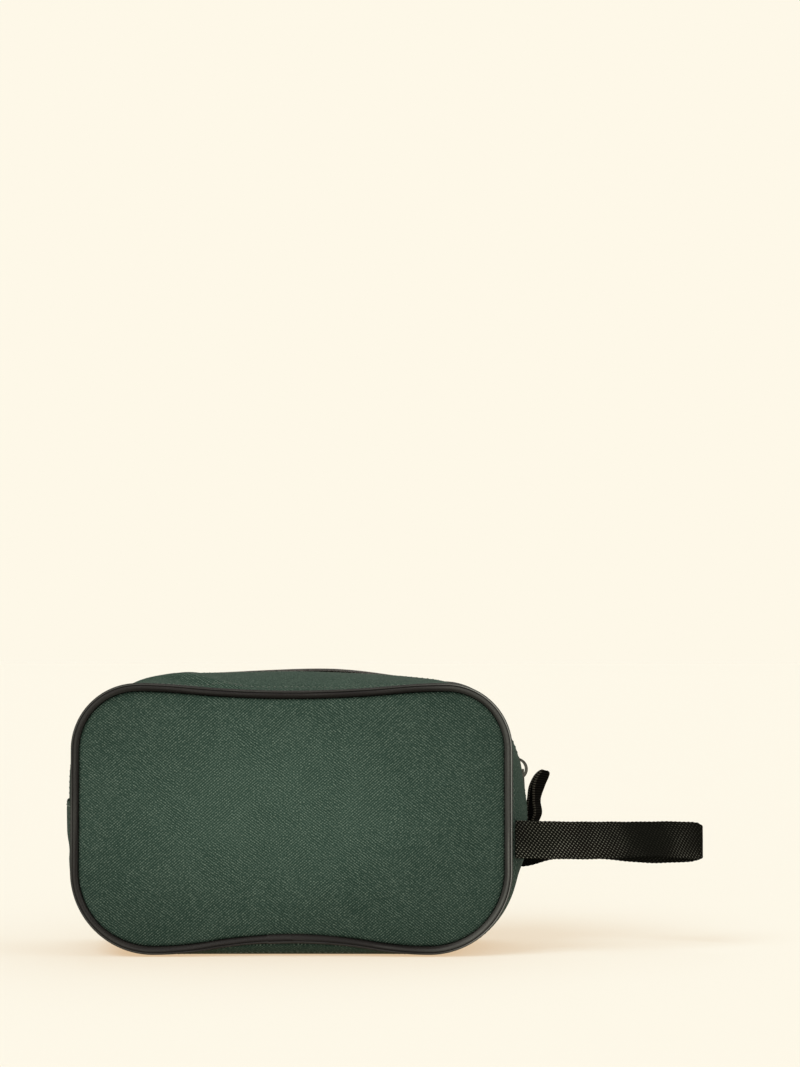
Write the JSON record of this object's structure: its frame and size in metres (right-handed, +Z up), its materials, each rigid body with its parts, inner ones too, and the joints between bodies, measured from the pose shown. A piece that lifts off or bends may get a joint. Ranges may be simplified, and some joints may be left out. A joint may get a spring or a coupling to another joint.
{
  "type": "zipped wash bag",
  "caption": "Soft box-shaped toiletry bag with rounded piped panels, a zip over the top and a webbing wrist strap on one side.",
  "frame": {"origin": "middle of the flat bottom, where the bag stands", "axes": "+X along the length, towards the wrist strap and the closed end of the zip; -Y out of the front panel; +Z up towards the zip"},
  "size_m": [0.3476, 0.09, 0.151],
  "materials": {
    "green_cloth": "dark green twill-woven polyester",
    "lining_cloth": "thin dark grey plain-woven lining",
    "piping_vinyl": "black grained vinyl over a cord",
    "piping_cord": "soft extruded cord",
    "binding_tape": "black woven binding tape",
    "zip_tape": "black woven zip tape",
    "zip_coil": "black nylon coil",
    "slider_metal": "dull nickel-plated zinc",
    "webbing": "black herringbone-woven webbing",
    "ribbon": "black ribbed ribbon"
  },
  "bodies": {
    "bag": {"front_panel": "green_cloth", "front_lining": "lining_cloth", "front_piping_cover": "piping_vinyl", "front_piping_cord": "piping_cord", "front_seam_binding": "binding_tape", "front_lip_sewn_edge": "green_cloth", "front_zip_strip_left": "green_cloth", "front_zip_strip_right": "green_cloth", "front_zip_tape_left": "zip_tape", "front_zip_tape_right": "zip_tape", "front_zip_coil_left": "zip_coil", "front_zip_coil_right": "zip_coil", "rear_panel": "green_cloth", "rear_lining": "lining_cloth", "rear_piping_cover": "piping_vinyl", "rear_piping_cord": "piping_cord", "rear_seam_binding": "binding_tape", "rear_lip_sewn_edge": "green_cloth", "rear_zip_strip_left": "green_cloth", "rear_zip_strip_right": "green_cloth", "rear_zip_tape_left": "zip_tape", "rear_zip_tape_right": "zip_tape", "rear_zip_coil_left": "zip_coil", "rear_zip_coil_right": "zip_coil", "base_gusset": "green_cloth", "gusset_lining": "lining_cloth", "strap_root_front": "webbing", "strap_root_rear": "webbing"},
    "front_lip": {"front_lip_strip": "green_cloth", "front_lip_tape": "zip_tape", "front_lip_coil": "zip_coil"},
    "rear_lip": {"rear_lip_strip": "green_cloth", "rear_lip_tape": "zip_tape", "rear_lip_coil": "zip_coil"},
    "slider": {"slider_body": "slider_metal"},
    "pull": {"slider_pull": "slider_metal"},
    "strap": {"wrist_strap": "webbing"},
    "end_tab": {"zip_end_tab": "ribbon"}
  },
  "joints": [
    {"name": "front_mouth", "type": "hinge", "parent": "bag", "child": "front_lip", "pos_m": [0, -0.035, 0.1428], "axis": [1, 0, 0], "range_deg": [0, 85]},
    {"name": "rear_mouth", "type": "hinge", "parent": "bag", "child": "rear_lip", "pos_m": [0, 0.035, 0.1428], "axis": [-1, 0, 0], "range_deg": [0, 85]},
    {"name": "slider_travel", "type": "hinge", "parent": "bag", "child": "slider", "pos_m": [0.066, 0, 0.0885], "axis": [0, -1, 0], "range_deg": [0, 57]},
    {"name": "pull_swing", "type": "hinge", "parent": "slider", "child": "pull", "pos_m": [0.12454, 0, 0.09634], "axis": [0, -1, 0], "range_deg": [0, 150], "deforming": ["zip_end_tab"]},
    {"name": "strap_swing", "type": "hinge", "parent": "bag", "child": "strap", "pos_m": [0.119, 0, 0.0613], "axis": [0, -1, 0], "range_deg": [-24, 30]},
    {"name": "end_tab_flex", "type": "hinge", "parent": "bag", "child": "end_tab", "pos_m": [0.131, 0, 0.069], "axis": [0, 1, 0], "range_deg": [0, 60]}
  ]
}
